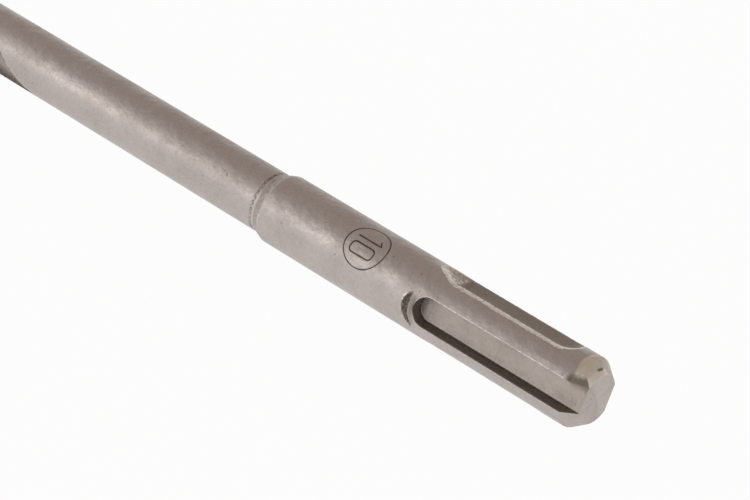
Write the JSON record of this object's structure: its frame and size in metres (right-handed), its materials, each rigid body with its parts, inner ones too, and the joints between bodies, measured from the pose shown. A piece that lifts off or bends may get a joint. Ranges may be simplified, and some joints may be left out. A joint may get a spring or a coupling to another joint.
{
  "type": "masonry drill bit with slotted shank",
  "caption": "Masonry drill bit for rotary hammers: slotted quick-change shank, smooth neck, right-hand spiral and a brazed carbide cutting plate.",
  "frame": {"origin": "centre of the shank's end face, where the hammer strikes", "axes": "the tool lies along X with its point towards -X; one drive slot faces -Y and the other +Y, the locking grooves face up and down, and the cutting plate lies flat"},
  "size_m": [0.21, 0.0104, 0.01],
  "materials": {
    "bright_steel": "satin, fine sand-blasted grain with polished and rubbed edges",
    "carbide": "dull dark grey, ground cutting faces"
  },
  "bodies": {
    "root": {"steel_body": "bright_steel", "carbide_tip": "carbide"}
  },
  "joints": []
}
